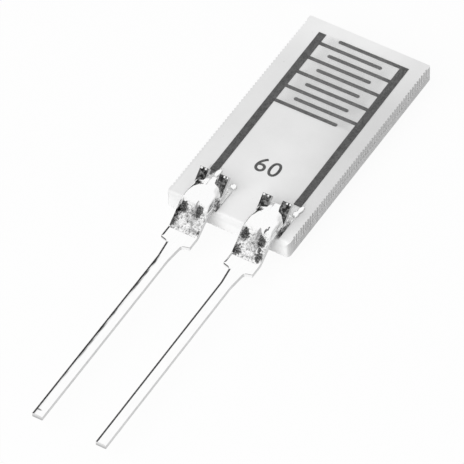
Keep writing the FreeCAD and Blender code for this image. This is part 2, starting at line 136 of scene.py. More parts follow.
# Ripples: how many to a millimetre, a layer of the noise for each use, and what builds the lumps
EDGE_RIPPLES = 4
POOL_RIPPLES = 2.5
LUMP_RIPPLES = 8
WICK_LAYER = 0
FRONT_LAYER = 2
POOL_LAYER = 5
LUMP_ROUGHNESS = 0.8
LUMP_OCTAVE_STEP = 2.1
LUMP_OCTAVES = 4

# The skin that carries all this: its grid, its reach along the chip, its edges and its underside
COLUMNS = 80
ROWS = 160
SKIN_START_MM = JOGGLE_START_MM - 0.04
SKIN_END_MM = 3.10
SKIN_INSET_MM = 0.004
SKIN_WIDENS_MM = (1.66, 1.76)
SKIN_TAPERS_MM = (2.74, 2.90)
SKIN_TAPER_MM = 0.36
UNDER_STRIP_MM = 0.03
UNDER_PAD_MM = 0.005
THINNEST_MM = 0.004

# Drops of solder: their rings from the middle out, and how they sit on the pad and on the tips
DROP_RINGS = (0.0, 0.35, 0.60, 0.78, 0.89, 0.95, 0.985, 1.0)
DROP_SEGMENTS = 28
DROP_FLATNESS = 5
PAD_BEAD_HEIGHT_MM = 0.09
PAD_BEAD_SUNK_MM = 0.02
TIP_BEAD_BACK_MM = 0.155
TIP_BEAD_DOWN_MM = 0.050
TIP_BEAD_HALF_Y_MM = 0.05
TIP_BEAD_HEIGHT_MM = 0.045

# The beads on the tips of the flares, by u and half width
TIP_BEADS_MM = ((-0.51, 0.06), (-0.34, 0.05), (0.42, 0.05), (0.54, 0.04))

# What differs between the two joints: the seed of the ripples, how far the web leans to a side,
# the noses by u and y, and the beads on the pad by u, y, two half sizes and a turn in degrees
JOINTS = {
    "left": {
        "seed": 3.7,
        "lean": -0.03,
        "noses": ((-0.35, 0.93), (0.28, 0.91)),
        "beads": ((-0.22, 3.30, 0.11, 0.22, -4), (0.58, 3.01, 0.13, 0.14, 20)),
    },
    "right": {
        "seed": 11.2,
        "lean": 0.02,
        "noses": ((-0.35, 0.89), (0.26, 0.93)),
        "beads": ((0.60, 2.98, 0.12, 0.16, 10), (0.65, 3.24, 0.10, 0.20, -6)),
    },
}

# Stains are ovals, by middle x and y and two half sizes. These are painted dark reflections on the
# four noses
NOSE_PAINTED_REFLECTIONS = (
    (-1.61, 1.14, 0.19, 0.16),
    (-1.00, 1.19, 0.14, 0.18),
    (0.91, 1.13, 0.18, 0.16),
    (1.59, 1.11, 0.15, 0.18),
)

# Painted shade: on the left joint's left edge, wick and fillet, in the right joint's fold, on its
# left edge, right edge and fillet, and last painted shadow under the left flare of each joint
PAINTED_SHADE_MARKS = (
    (-1.77, 0.74, 0.120, 0.33),
    (-1.77, 0.98, 0.10, 0.12),
    (-0.72, 0.64, 0.05, 0.10),
    (-0.640, 1.88, 0.095, 0.22),
    (1.560, 1.43, 0.035, 0.10),
    (1.600, 1.55, 0.030, 0.08),
    (0.81, 0.63, 0.20, 0.22),
    (1.72, 0.68, 0.13, 0.15),
    (1.62, 0.88, 0.07, 0.14),
    (1.895, 1.82, 0.095, 0.20),
    (1.905, 2.15, 0.050, 0.42),
    (-1.60, 2.24, 0.15, 0.10),
    (0.88, 2.20, 0.13, 0.11),
)

# The nick in the left lead near its tip, and the ink that ran down over the left pad's neck
NICK = (-1.34, -8.93, 0.11, 0.035)
INK_RUN = (-1.72, 3.30, 0.11, 0.20)

# The middle of an oval's soft rim, as a share of its half sizes
STAIN_RIM = 0.9

# The coat: its middle along the chip, its underside over the chip's face, and its corners
FILM_MIDDLE_MM = 9.2
FILM_UNDER_MM = 0.0215
FILM_CORNER_MM = 0.15
FILM_CORNER_STEPS = 6

# The printed number: digit height as a share of the font's size, spacing, stroke and thickness
DIGIT_SHARE = 0.72
DIGIT_SPACING = 1.08
STROKE_GAIN_MM = 0.005
INK_HALF_MM = 0.004

# Camera fitted to the photograph, which is 464 pixels wide
PHOTO_WIDTH = 464
FOCAL_PIXELS = 6060.88
SENSOR_WIDTH = 36.0
CAMERA_PLACE = Vector((0.07402494, -0.11960992, 0.15796479))
CAMERA_RIGHT = Vector((0.86100, 0.50845, -0.01287))
CAMERA_UP = Vector((-0.37105, 0.64524, 0.66782))

# Light levels, as shares of the level at which a colour renders as written
FILL_LEVEL = 0.50
KEY_LEVEL = 0.91
KEY_DIRECTION = Vector((-0.12, -0.73, 0.67)).normalized()
KEY_DISTANCE = 0.30
KEY_SIZE = 0.34

# The floor just under the part, and how far away the cards stand
FLOOR_COLOUR = 0.84
FLOOR_SHADOW = 0.06
FLOOR_HALF = 1.0
FLOOR_GAP_MM = 0.01
CARD_DISTANCE = 0.40


def smooth_step(span, value):
    """0 at the span's first number and 1 at its second, with a soft change between them."""
    low, high = span
    t = min(1.0, max(0.0, (value - low) / (high - low)))
    return t * t * (3 - 2 * t)


def mix(start, end, share):
    """The value that lies this share of the way from start to end."""
    return start + (end - start) * share


def soft_min(a, b, blend):
    """The lower of two heights, with a rounded corner where they cross."""
    share = min(1.0, max(0.0, 0.5 + (b - a) / (2 * blend)))
    return b + (a - b) * share - blend * share * (1 - share)


def put(name, data):
    """A new object with this data, linked to the scene."""
    thing = bpy.data.objects.new(name, data)
    bpy.context.scene.collection.objects.link(thing)
    return thing


class Surface:
    """A node material being built: each call adds a node and gives its output."""

    def __init__(self, name):
        self.material = bpy.data.materials.new(name)
        self.material.use_nodes = True
        self.tree = self.material.node_tree
        self.shader = self.tree.nodes["Principled BSDF"]
        self.output = self.tree.nodes["Material Output"]

    def feed(self, socket, value):
        """Link an output to the socket, or set the socket to a plain value."""
        if isinstance(value, bpy.types.NodeSocket):
            self.tree.links.new(value, socket)
        else:
            socket.default_value = value

    def add(self, kind, feeds, **settings):
        node = self.tree.nodes.new(kind)
        for name, value in settings.items():
            setattr(node, name, value)
        for key, value in feeds.items():
            self.feed(node.inputs[key], value)
        return node

    def millimetres(self, shares=(1, 1, 1)):
        """Place on the object in millimetres: a share below 1 draws patterns out on its axis."""
        place = self.add("ShaderNodeTexCoord", {}).outputs["Object"]
        scale = tuple(share / MM for share in shares)
        return self.add("ShaderNodeMapping", {"Vector": place, "Scale": scale}).outputs["Vector"]

    def noise(self, place, scale, detail, roughness=0.5):
        """Clouds, with their scale in repeats to a millimetre."""
        feeds = {"Vector": place, "Scale": scale, "Detail": detail, "Roughness": roughness}
        return self.add("ShaderNodeTexNoise", feeds).outputs["Fac"]

    def cells(self, place, scale):
        """Distance to the nearest of many scattered points, at this scale."""
        feeds = {"Vector": place, "Scale": scale}
        return self.add("ShaderNodeTexVoronoi", feeds).outputs["Distance"]

    def math(self, operation, a, b=0.0, clamp=False):
        node = self.add("ShaderNodeMath", {0: a, 1: b}, operation=operation, use_clamp=clamp)
        return node.outputs["Value"]

    def plus(self, a, b):
        return self.math("ADD", a, b)

    def minus(self, a, b, clamp=False):
        return self.math("SUBTRACT", a, b, clamp)

    def times(self, a, b):
        return self.math("MULTIPLY", a, b)

    def larger(self, a, b):
        return self.math("MAXIMUM", a, b)

    def size(self, value):
        """The value without its sign."""
        return self.math("ABSOLUTE", value)

    def darken(self, tone, share):
        """The tone with this share of it taken away."""
        return self.minus(tone, self.times(tone, share))

    def spread(self, value, source, target=(0.0, 1.0)):
        """The value, with the source range taken smoothly to the target range."""
        feeds = {
            "Value": value,
            "From Min": source[0],
            "From Max": source[1],
            "To Min": target[0],
            "To Max": target[1],
        }
        node = self.add("ShaderNodeMapRange", feeds, interpolation_type="SMOOTHSTEP")
        return node.outputs["Result"]

    def vary(self, clouds, low, high):
        """Clouds, which lie mostly between 0.3 and 0.7, taken to the range from low to high."""
        return self.spread(clouds, (0.3, 0.7), (low, high))

    def stain(self, place, oval, ragged, softness=0.35):
        """1 inside a soft, ragged oval and 0 outside it: its middle and half sizes are in mm."""
        x, y, half_x, half_y = oval
        feeds = {
            "Vector": place,
            "Location": (-x / half_x, -y / half_y, 0),
            "Scale": (1 / half_x, 1 / half_y, 0),
        }
        local = self.add("ShaderNodeMapping", feeds).outputs["Vector"]
        away = self.add("ShaderNodeVectorMath", {0: local}, operation="LENGTH").outputs["Value"]
        rim = (STAIN_RIM - softness, STAIN_RIM + softness)
        return self.spread(self.plus(away, ragged), rim, (1.0, 0.0))

    def grey(self, value):
        """A neutral colour from one number."""
        feeds = {"Red": value, "Green": value, "Blue": value}
        return self.add("ShaderNodeCombineColor", feeds).outputs["Color"]

    def bump(self, height, distance_mm, strength, after=None):
        """A normal that follows the height, on top of an earlier one where that is given."""
        feeds = {"Height": height, "Distance": distance_mm * MM, "Strength": strength}
        if after is not None:
            feeds["Normal"] = after
        return self.add("ShaderNodeBump", feeds).outputs["Normal"]

    def parts(self, vector):
        return self.add("ShaderNodeSeparateXYZ", {"Vector": vector}).outputs

    def facing(self):
        """The direction that the surface faces, as X, Y and Z."""
        return self.parts(self.add("ShaderNodeNewGeometry", {}).outputs["Normal"])

    def back(self, component):
        """How far the surface faces the negative way of an axis."""
        return self.times(component, -1.0)

    def set(self, **sockets):
        """Feed the shader's own sockets, with underscores for the spaces in their names."""
        for name, value in sockets.items():
            self.feed(self.shader.inputs[name.replace("_", " ")], value)
        return self.material


def ceramic_tone_and_painted_light(s, place, spot):
    """The ceramic's tone with painted light and shade: painted light at both ends, and painted
    shade along the right and left margins and on the left rim.
    """
    tone = s.vary(s.noise(place, scale=0.9, detail=3), 0.785, 0.815)
    # Painted light: both ends of the plate are made lighter
    painted_far_end_light = s.spread(spot["Y"], (9.0, 11.6), (0.0, 0.095))
    painted_lead_end_light = s.spread(spot["Y"], (2.0, 7.5), (0.105, 0.0))
    tone = s.plus(s.plus(tone, painted_far_end_light), painted_lead_end_light)
    # Painted shade along the right and left margins and on the left rim
    right_reach = s.spread(spot["Y"], (1.8, 2.9))
    right_reach = s.times(right_reach, s.spread(spot["Y"], (5.0, 11.0), (1.0, 0.60)))
    painted_right_margin_shade = s.times(s.spread(spot["X"], (0.0, 2.4), (0.0, 0.12)), right_reach)
    left_reach = s.spread(spot["Y"], (3.5, 8.5), (1.0, 0.0))
    painted_left_margin_shade = s.times(s.spread(spot["X"], (-2.4, -1.0), (0.058, 0.0)), left_reach)
    painted_left_rim_shade = s.spread(spot["X"], (-2.58, -2.50), (0.050, 0.0))
    tone = s.minus(tone, painted_right_margin_shade)
    return s.minus(tone, s.plus(painted_left_margin_shade, painted_left_rim_shade))


def painted_lead_edge_shade(s, spot):
    """Painted shade on the chip's lead edge, just under its rounded rim: what that face loses in
    tone.
    """
    front = s.spread(s.back(s.facing()["Y"]), (0.2, 0.8))
    rim = s.spread(spot["Z"], (FACE_MM - 0.35, FACE_MM - 0.03), (0.0, 0.12))
    return s.times(front, rim)


def snapped_side_streaks_and_painted_shade(s, spot, streaks):
    """What the snapped sides lose in tone: their own streaks, and painted shade that is strongest
    near the lead edge and at the far corner.
    """
    # Painted shade: the streaks are made darker near the lead edge, and both corners darker still
    along = s.spread(spot["Y"], (3.0, 6.0), (1.35, 0.65))
    streaked = s.times(s.spread(streaks, (0.35, 0.65), (0.03, 0.13)), along)
    painted_far_corner_shade = s.spread(spot["Y"], (8.5, 11.3), (0.0, 0.13))
    painted_near_corner_shade = s.spread(spot["Y"], (1.6, 4.4), (0.13, 0.0))
    return s.plus(s.plus(streaked, painted_far_corner_shade), painted_near_corner_shade)


def alumina():
    """Fired ceramic: nearly white, a fine grain and faint specks, with painted light at both ends
    and painted shade on the margins, the lead edge and the streaked snapped sides.
    """
    s = Surface("alumina")
    place = s.millimetres()
    spot = s.parts(place)
    grain = s.noise(place, scale=28, detail=4, roughness=0.65)
    specks = s.spread(s.cells(place, scale=1.3), (0.02, 0.05), (0.10, 0.0))
    streaks = s.noise(s.millimetres((6.25, 6.25, 0.7)), scale=1.0, detail=3, roughness=0.6)
    on_side = s.spread(s.size(s.facing()["X"]), (0.5, 0.9))
    tone = s.plus(ceramic_tone_and_painted_light(s, place, spot), s.vary(grain, -0.012, 0.012))
    tone = s.minus(tone, specks)
    # Painted shade on the lead edge
    tone = s.minus(tone, painted_lead_edge_shade(s, spot))
    # Painted shade on the snapped sides, over their streaks
    tone = s.minus(tone, s.times(on_side, snapped_side_streaks_and_painted_shade(s, spot, streaks)))
    relief = s.bump(grain, distance_mm=0.004, strength=0.5)
    relief = s.bump(s.times(streaks, on_side), distance_mm=0.03, strength=0.8, after=relief)
    return s.set(Base_Color=s.grey(tone), Roughness=0.62, Normal=relief)


def clear_film():
    """Moisture sensitive coat: almost clear, with a slight uneven haze that thins at its rim."""
    s = Surface("polymer_film")
    place = s.millimetres()
    spot = s.parts(place)
    cloud = s.noise(place, scale=1.7, detail=3)
    tone = s.vary(cloud, 0.54, 0.46)
    haze = s.vary(cloud, 0.07, 0.10)
    rim_x = s.spread(s.size(spot["X"]), (1.10, 1.75), (1.0, 0.0))
    rim_y = s.spread(s.size(s.minus(spot["Y"], FILM_MIDDLE_MM)), (1.74, 1.96), (1.0, 0.0))
    alpha = s.times(haze, s.times(rim_x, rim_y))
    relief = s.bump(s.noise(place, scale=3.5, detail=2), distance_mm=0.002, strength=0.3)
    return s.set(Base_Color=s.grey(tone), Roughness=0.5, Alpha=alpha, Normal=relief)


def dark_print():
    """Screen printed conductor: dark, with the mesh's fine grain."""
    s = Surface("electrode_print")
    place = s.millimetres()
    mesh_grain = s.cells(place, scale=17)
    cloud = s.noise(place, scale=5, detail=4, roughness=0.6)
    tone = s.spread(mesh_grain, (0.1, 0.7), (0.042, 0.090))
    tone = s.plus(tone, s.vary(cloud, -0.018, 0.022))
    relief = s.bump(mesh_grain, distance_mm=0.006, strength=0.6)
    return s.set(Base_Color=s.grey(tone), Roughness=0.6, Normal=relief)


def printed_pad():
    """Printed silver wetted by a thin, streaked run of solder, with a run of ink on the left."""
    s = Surface("pad_print")
    place = s.millimetres()
    streaks = s.noise(s.millimetres((1, 0.25, 1)), scale=11, detail=3, roughness=0.6)
    ragged = s.vary(s.noise(place, scale=8, detail=3), -0.25, 0.25)
    ink = s.times(s.stain(place, INK_RUN, ragged), 0.85)
    tone = s.darken(s.vary(streaks, 0.64, 0.82), ink)
    relief = s.bump(streaks, distance_mm=0.006, strength=0.5)
    return s.set(Base_Color=s.grey(tone), Metallic=0.7, Roughness=0.42, Normal=relief)


def side_wall_painted_shade(s, spot, facing, walls, drawn):
    """What the sheared walls on the right and left lose in tone: the left ones lose most, to a
    painted dark reflection, and the right ones are partly dull sheared metal and partly painted
    shade.
    """
    right_walls = s.times(walls, s.spread(facing["X"], (0.60, 0.90)))
    left_walls = s.times(walls, s.spread(s.back(facing["X"]), (0.10, 0.25)))
    right_loss = s.vary(drawn, 0.30, 0.42)
    left_loss = s.spread(spot["Z"], (-0.05, 0.02), (0.0, 0.75))
    return s.plus(s.times(right_walls, right_loss), s.times(left_walls, left_loss))


def cut_end_shade(s, spot, front_walls):
    """What the cut ends of the leads lose in tone."""
    cut_ends = s.times(front_walls, s.spread(spot["Y"], (-9.0, -8.0), (1.0, 0.0)))
    return s.times(cut_ends, s.spread(spot["Z"], (-0.08, 0.06), (0.50, 0.20)))


def shoulder_rim_painted_shade(s, spot, front_walls):
    """Painted shade along the upper rim of each shoulder's front wall: what it loses in tone."""
    rim = s.times(front_walls, s.spread(spot["Z"], (0.02, 0.06)))
    rim = s.times(rim, s.spread(spot["Y"], (-2.0, -1.0)))
    return s.times(rim, 0.60)


def lead_edge_painted_shade_and_nick(s, place, spot, facing, blotches):
    """Painted shade along the left lead's upper left edge, most near its root, and the nick near
    its tip.
    """
    # Painted shade: a ragged dark band along the left lead's upper left edge
    edge_shade_breakup = s.noise(s.millimetres((1, 0.2, 1)), scale=9, detail=3, roughness=0.6)
    edge = s.spread(spot["X"], (-1.37, -1.32), (1.0, 0.0))
    reach = s.spread(spot["Y"], (-9.0, -2.5), (0.25, 1.0))
    reach = s.times(reach, s.spread(spot["Y"], (-1.1, -0.8), (1.0, 0.0)))
    reach = s.times(reach, s.spread(facing["Z"], (0.3, 0.5)))
    painted_edge_shade = s.times(s.times(edge, reach), s.spread(edge_shade_breakup, (0.36, 0.58), (0.95, 0.15)))
    nick = s.times(s.stain(place, NICK, s.vary(blotches, -0.2, 0.2)), 0.70)
    return s.larger(painted_edge_shade, nick)


def tinned_strip():
    """Plated strip: bright rolled faces, sheared walls with painted shade and a painted dark
    reflection, flares roughened by thin solder and darkened by a painted dark reflection, and
    painted shade along the left lead's edge.
    """
    s = Surface("tinned_strip")
    place = s.millimetres()
    spot = s.parts(place)
    facing = s.facing()
    drawn = s.noise(s.millimetres((1, 0.18, 1)), scale=14, detail=4, roughness=0.6)
    blotches = s.noise(place, scale=9, detail=4, roughness=0.6)
    beads = s.spread(s.noise(place, scale=12, detail=3, roughness=0.6), (0.55, 0.68))
    walls = s.spread(s.size(facing["Z"]), (0.15, 0.35), (1.0, 0.0))
    front_walls = s.times(walls, s.spread(s.back(facing["Y"]), (0.70, 0.90)))
    flared = s.times(s.spread(spot["Y"], (1.70, 1.85)), s.spread(facing["Z"], (0.3, 0.5)))
    # Painted dark reflection on the flares, in blotches
    painted_flare_reflection = s.times(flared, s.spread(blotches, (0.42, 0.68), (0.94, 0.58)))
    tone = s.minus(s.vary(drawn, 0.965, 0.99), painted_flare_reflection)
    # Painted dark reflection on the left walls and painted shade on the right ones
    tone = s.minus(tone, side_wall_painted_shade(s, spot, facing, walls, drawn))
    tone = s.minus(tone, cut_end_shade(s, spot, front_walls))
    # Painted shade along the left lead's edge, and the nick near its tip
    tone = s.darken(tone, lead_edge_painted_shade_and_nick(s, place, spot, facing, blotches))
    # Painted shade on the shoulders' upper rims
    tone = s.minus(tone, shoulder_rim_painted_shade(s, spot, front_walls), clamp=True)
    rough = s.plus(s.vary(drawn, 0.08, 0.13), s.times(walls, 0.25))
    rough = s.plus(rough, s.times(flared, 0.10))
    relief = s.bump(drawn, distance_mm=0.0005, strength=0.4)
    relief = s.bump(s.times(beads, flared), distance_mm=0.008, strength=0.9, after=relief)
    return s.set(Base_Color=s.grey(tone), Metallic=1.0, Roughness=rough, Normal=relief)


def steep_side_painted_shade(s, spot):
    """Painted shade, in streaks, on the solder's steep sides and on its foot on the pad before the
    beads: what they lose in tone.
    """
    streaks = s.noise(s.millimetres((1, 0.2, 1)), scale=16, detail=3, roughness=0.6)
    sideways = s.spread(s.size(s.facing()["X"]), (0.50, 0.80))
    low = s.spread(spot["Z"], (PAD_TOP_MM + 0.03, PAD_TOP_MM + 0.10), (1.0, 0.0))
    low = s.times(low, s.spread(spot["Y"], (1.60, 1.70)))
    low = s.times(low, s.spread(spot["Y"], (2.76, 2.84), (1.0, 0.0)))
    streaked = s.spread(streaks, (0.35, 0.65), (0.18, 0.48))
    return s.times(s.larger(sideways, low), streaked)


def add_painted_dark_marks(s, tone, place, fine):
    """The tone with the painted dark reflections on the noses and the painted shade at the folds,
    along the edges and under the flares, each mottled inside.
    """
    ragged = s.vary(s.noise(place, scale=10, detail=3, roughness=0.6), -0.45, 0.45)
    calm = s.times(ragged, 0.6)
    darkness = s.spread(fine, (0.40, 0.62), (0.94, 0.68))
    marks = [s.stain(place, oval, calm, softness=0.15) for oval in NOSE_PAINTED_REFLECTIONS]
    marks += [s.stain(place, oval, ragged) for oval in PAINTED_SHADE_MARKS]
    for mark in marks:
        tone = s.darken(tone, s.times(mark, darkness))
    return tone


def flowed_solder():
    """Reflowed solder: a mirror where it pooled, mottled where it is thin, with painted shade on
    its sides and painted dark marks on the noses, folds and edges.
    """
    s = Surface("solder")
    place = s.millimetres()
    spot = s.parts(place)
    thin = s.spread(spot["Y"], (1.15, 1.45), (1.0, 0.0))
    pits = s.noise(place, scale=9, detail=4, roughness=0.6)
    fine = s.noise(place, scale=30, detail=2)
    specks = s.noise(place, scale=15, detail=2, roughness=0.6)
    mottled = s.spread(pits, (0.36, 0.52), (0.42, 0.0))
    mottled = s.plus(mottled, s.spread(specks, (0.36, 0.46), (0.50, 0.0)))
    tone = s.minus(s.vary(fine, 0.95, 0.98), s.times(thin, mottled), clamp=True)
    # Painted shade on the solder's steep sides and low foot
    tone = s.minus(tone, steep_side_painted_shade(s, spot))
    # Painted dark reflections on the noses, and painted shade at the folds, edges and under the
    # flares
    tone = add_painted_dark_marks(s, tone, place, fine)
    rough = s.spread(thin, (0.0, 1.0), (0.10, 0.24))
    relief = s.bump(s.times(pits, thin), distance_mm=0.014, strength=0.9)
    relief = s.bump(fine, distance_mm=0.0015, strength=0.5, after=relief)
    return s.set(Base_Color=s.grey(tone), Metallic=1.0, Roughness=rough, Normal=relief)


def strip_top(y):
    """Height of the clip's upper face in mm at y along the chip, without the flare."""
    inner, outer = BEND_MM - STRIP_MM / 2, BEND_MM + STRIP_MM / 2
    sine, cosine = math.sin(JOGGLE_ANGLE), math.cos(JOGGLE_ANGLE)
    slope_start = JOGGLE_START_MM + inner * sine
    slope_end = JOGGLE_END_MM - outer * sine
    if y <= JOGGLE_START_MM:
        return STRIP_MM / 2
    if y <= slope_start:
        return STRIP_MM / 2 + inner - math.sqrt(inner**2 - (y - JOGGLE_START_MM) ** 2)
    if y <= slope_end:
        return STRIP_MM / 2 + inner * (1 - cosine) + (y - slope_start) * sine / cosine
    if y <= JOGGLE_END_MM:
        return PRONG_TOP_MM - outer + math.sqrt(outer**2 - (JOGGLE_END_MM - y) ** 2)
    return PRONG_TOP_MM


def thin_height(u, y, joint):
    """Top of the thin solder in mm: it sags into the slot and rolls off the clip's edges."""
    seed = joint["seed"]
    wave = WICK_WAVE_MM * noise.noise(Vector((u * EDGE_RIPPLES, seed, WICK_LAYER)))
    wick_edge = WICK_START_MM + WICK_SLANT * u + wave
    wetted = smooth_step((wick_edge, wick_edge + WICK_FADE_MM), y)
    place = Vector((u * LUMP_RIPPLES, y * LUMP_RIPPLES, seed))
    lumps = noise.fractal(place, LUMP_ROUGHNESS, LUMP_OCTAVE_STEP, LUMP_OCTAVES)
    thickness = WICK_MM + LUMP_MM * lumps * smooth_step(LUMPS_ALONG_MM, y)
    sag = SAG_MM * smooth_step(SAG_ACROSS_MM, abs(u)) * smooth_step(SAG_ALONG_MM, y)
    roll = ROLL_MM * smooth_step(ROLL_ACROSS_MM, abs(u))
    return strip_top(y) + (COAT_MM + wetted * thickness) - sag - roll


def bulge(u):
    """The pool's height across the clip as a share: 1 in the middle and 0 at its edges."""
    if u < 0:
        return (1 - min(1.0, -u / POOL_LEFT_MM) ** LEFT_FULLNESS) ** 0.5
    return (1 - min(1.0, u / POOL_RIGHT_MM) ** RIGHT_FULLNESS) ** 0.5


def front_height(u, y, joint):
    """Height of the pool's sloping front in mm: its two noses reach out and are steeper."""
    slope, foot = FRONT_SLOPE, FRONT_MM
    for middle, front in joint["noses"]:
        near = smooth_step((1.0, 0.0), abs(u - middle) / NOSE_RADIUS_MM)
        slope = max(slope, mix(FRONT_SLOPE, NOSE_SLOPE, near))
        foot = min(foot, mix(FRONT_MM, front, near))
    place = Vector((u * EDGE_RIPPLES, joint["seed"], FRONT_LAYER))
    foot += FRONT_WAVE_MM * noise.noise(place)
    return strip_top(foot) + (y - foot) * slope


def pooled_height(u, y, joint):
    """Top of the pool in mm, with a rise between the flares that is steeper on the right."""
    place = Vector((u * POOL_RIPPLES, y * POOL_RIPPLES, joint["seed"] + POOL_LAYER))
    wave = POOL_WAVE_MM * noise.noise(place)
    to_right = smooth_step(LEFT_TO_RIGHT_MM, u)
    steepness = mix(CLIMB_STEEPNESS_LEFT, CLIMB_STEEPNESS_RIGHT, to_right)
    climb = soft_min(CLIMB_MM, steepness * (CLIMB_HALF_MM - abs(u)), CLIMB_MM)
    climb *= smooth_step(CLIMB_ALONG_MM, y)
    crown = CROWN_MM * mix(CROWN_FRONT_SHARE, 1.0, smooth_step(CROWN_ALONG_MM, y))
    pool = PRONG_TOP_MM + wave + (crown + climb) * bulge(u)
    return soft_min(front_height(u, y, joint), pool, FRONT_BLEND_MM)


def solder_height(u, y, joint):
    """Top of the solder in mm at u across the clip and y along it."""
    height = max(thin_height(u, y, joint), pooled_height(u, y, joint))
    # A web spans the gap between the flares, and behind it the solder drops to the pad
    in_web = smooth_step(WEB_ACROSS_MM, abs(u - joint["lean"]))
    drop_start = mix(BESIDE_WEB_DROP_MM[0], WEB_DROP_MM[0], in_web)
    drop_end = mix(BESIDE_WEB_DROP_MM[1], WEB_DROP_MM[1], in_web)
    height = mix(height, WETTED_MM, smooth_step((drop_start, drop_end), y))
    # Outside the prongs a hollow fillet runs down to the pad
    outside = abs(u) - CLIP_HALF_MM
    if y > FILLET_START_MM and outside > 0:
        left_over = 1 - min(1.0, outside / FILLET_WIDTH_MM)
        height = min(height, mix(WETTED_MM, FILLET_TOP_MM, left_over**FILLET_HOLLOW))
    return height


def skin_half(y):
    """Half of the skin's width in mm: wider where the fillets are, and narrower at the tail."""
    narrow = CLIP_HALF_MM - SKIN_INSET_MM
    wide = CLIP_HALF_MM + FILLET_WIDTH_MM
    half = mix(narrow, wide, smooth_step(SKIN_WIDENS_MM, y))
    return half - SKIN_TAPER_MM * smooth_step(SKIN_TAPERS_MM, y)


def skin_points(middle_mm, joint):
    """The points of the skin's top and those of its hidden underside, row by row."""
    top, bottom = [], []
    for j in range(ROWS + 1):
        y = SKIN_START_MM + (SKIN_END_MM - SKIN_START_MM) * j / ROWS
        half = skin_half(y)
        under = PAD_TOP_MM - UNDER_PAD_MM
        if y < FILLET_START_MM:
            under = strip_top(y) - UNDER_STRIP_MM
        for i in range(COLUMNS + 1):
            u = half * (2 * i / COLUMNS - 1)
            z = max(solder_height(u, y, joint), under + THINNEST_MM)
            x = middle_mm + u
            top.append((x * MM, y * MM, z * MM))
            bottom.append((x * MM, y * MM, under * MM))
    return top, bottom


def skin_faces(count):
    """The skin's faces: the top's points are the first count ones, and the underside's follow."""
    width = COLUMNS + 1
    faces = []
    for j in range(ROWS):
        for i in range(COLUMNS):
            a = j * width + i
            b = a + width
            faces.append((a, a + 1, b + 1, b))
            faces.append((count + b, count + b + 1, count + a + 1, count + a))
    for j in range(ROWS):
        a, b = j * width, (j + 1) * width
        faces.append((a, b, count + b, count + a))
        a, b = a + COLUMNS, b + COLUMNS
        faces.append((b, a, count + a, count + b))
    for i in range(COLUMNS):
        faces.append((i + 1, i, count + i, count + i + 1))
        a = ROWS * width + i
        faces.append((a, a + 1, count + a + 1, count + a))
    return faces


def add_drop(points, faces, middle, sizes, turn):
    """Add a flat-topped drop of solder at middle in mm: half sizes in mm, turned by degrees."""
    half_x, half_y, height = sizes
    cosine, sine = math.cos(math.radians(turn)), math.sin(math.radians(turn))
    first = len(points)
    for ring in DROP_RINGS:
        rise = height * (1 - ring**DROP_FLATNESS) ** 0.5
        for k in range(DROP_SEGMENTS):
            angle = 2 * math.pi * k / DROP_SEGMENTS
            across, along = ring * half_x * math.cos(angle), ring * half_y * math.sin(angle)
            x = middle[0] + across * cosine - along * sine
            y = middle[1] + across * sine + along * cosine
            points.append((x * MM, y * MM, (middle[2] + rise) * MM))
    for ring in range(len(DROP_RINGS) - 1):
        a, b = first + ring * DROP_SEGMENTS, first + (ring + 1) * DROP_SEGMENTS
        for k in range(DROP_SEGMENTS):
            n = (k + 1) % DROP_SEGMENTS
            faces.append((a + k, b + k, b + n, a + n))
    last = first + (len(DROP_RINGS) - 1) * DROP_SEGMENTS
    faces.append(tuple(last + DROP_SEGMENTS - 1 - k for k in range(DROP_SEGMENTS)))


def add_joint_drops(points, faces, middle_mm, joint):
    """Add one joint's beads on the pad and those on the tips of its flares."""
    for u, y, half_x, half_y, turn in joint["beads"]:
        place = (middle_mm + u, y, PAD_TOP_MM - PAD_BEAD_SUNK_MM)
        add_drop(points, faces, place, (half_x, half_y, PAD_BEAD_HEIGHT_MM), turn)
    for u, half_x in TIP_BEADS_MM:
        place = (middle_mm + u, TIP_END_MM - TIP_BEAD_BACK_MM, TIP_TOP_MM - TIP_BEAD_DOWN_MM)
        add_drop(points, faces, place, (half_x, TIP_BEAD_HALF_Y_MM, TIP_BEAD_HEIGHT_MM), 0)


def solder_piece(side, sign):
    """One joint's solder: a closed skin from where it wicked to the pad, and its drops."""
    joint = JOINTS[side]
    middle_mm = sign * PITCH_MM / 2
    top, bottom = skin_points(middle_mm, joint)
    points = top + bottom
    faces = skin_faces(len(top))
    # Only the skin's top and the four-cornered faces of the drops are shaded smooth
    smooth = [max(face) < len(top) for face in faces]
    add_joint_drops(points, faces, middle_mm, joint)
    smooth += [len(face) == 4 for face in faces[len(smooth):]]
    mesh = bpy.data.meshes.new(f"flowed_solder_{side}")
    mesh.from_pydata(points, [], faces)
    mesh.polygons.foreach_set("use_smooth", smooth)
    mesh.update()
    mesh.materials.append(MATERIALS["solder"])
    piece = put(f"flowed_solder_{side}", mesh)
    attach(piece, "root")
    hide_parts(f"solder_joint_{side}")


def film_outline(low, high):
    """The coat's outline in metres, with rounded corners, inside the box from low to high."""
    radius = FILM_CORNER_MM * MM
    corners = ((high.x, high.y, 0), (low.x, high.y, 90), (low.x, low.y, 180), (high.x, low.y, 270))
    outline = []
    for x, y, turn in corners:
        centre_x = x - radius if x > 0 else x + radius
        centre_y = y - radius if y == high.y else y + radius
        for step in range(FILM_CORNER_STEPS + 1):
            angle = math.radians(turn + 90 * step / FILM_CORNER_STEPS)
            across, along = radius * math.cos(angle), radius * math.sin(angle)
            outline.append((centre_x + across, centre_y + along))
    return outline


